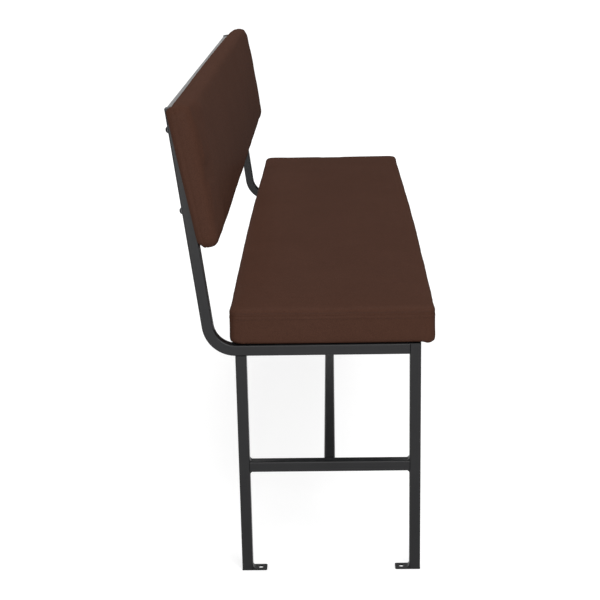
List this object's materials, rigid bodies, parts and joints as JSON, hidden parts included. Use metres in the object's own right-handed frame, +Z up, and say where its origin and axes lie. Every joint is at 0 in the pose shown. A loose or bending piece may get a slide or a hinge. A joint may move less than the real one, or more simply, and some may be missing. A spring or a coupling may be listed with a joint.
{
  "type": "upholstered bench",
  "caption": "Upholstered bench with a dark brown faux leather seat and back pad on a welded black square tube frame with floor-fixing foot plates",
  "frame": {"origin": "on the floor, in the middle of the four floor-fixing holes", "axes": "+X along the bench, to the right as seen from the front, +Y from the front to the back, +Z up"},
  "size_m": [1.54, 0.4617, 0.874],
  "materials": {
    "frame_black_powder_coat": "semi-gloss black powder coat on welded square steel tube",
    "brown_faux_leather": "fine-grained dark brown faux leather with topstitched seams",
    "upholstery_foam": "cut polyurethane foam",
    "plywood": "birch plywood",
    "black_dust_cloth": "black non-woven dust cloth",
    "black_plastic": "moulded black polyethylene",
    "zinc_plated_steel": "zinc-plated steel",
    "black_steel_bolts": "black oxide steel"
  },
  "bodies": {
    "root": {"left_side_tube": "frame_black_powder_coat", "left_front_leg": "frame_black_powder_coat", "left_rear_leg": "frame_black_powder_coat", "left_cross_bar": "frame_black_powder_coat", "left_front_foot_plate": "frame_black_powder_coat", "left_rear_foot_plate": "frame_black_powder_coat", "left_weld_beads": "frame_black_powder_coat", "left_upright_cap": "black_plastic", "right_side_tube": "frame_black_powder_coat", "right_front_leg": "frame_black_powder_coat", "right_rear_leg": "frame_black_powder_coat", "right_cross_bar": "frame_black_powder_coat", "right_front_foot_plate": "frame_black_powder_coat", "right_rear_foot_plate": "frame_black_powder_coat", "right_weld_beads": "frame_black_powder_coat", "right_upright_cap": "black_plastic", "stretcher": "frame_black_powder_coat", "front_seat_rail": "frame_black_powder_coat", "rear_seat_rail": "frame_black_powder_coat", "top_rail": "frame_black_powder_coat", "seat_cover": "brown_faux_leather", "seat_foam": "upholstery_foam", "seat_board": "plywood", "seat_dust_cover": "black_dust_cloth", "seat_screws": "zinc_plated_steel", "back_cover": "brown_faux_leather", "back_foam": "upholstery_foam", "back_board": "plywood", "back_rear_panel": "brown_faux_leather", "back_bolts": "black_steel_bolts", "back_washers": "zinc_plated_steel", "back_tee_nuts": "zinc_plated_steel"}
  },
  "joints": []
}
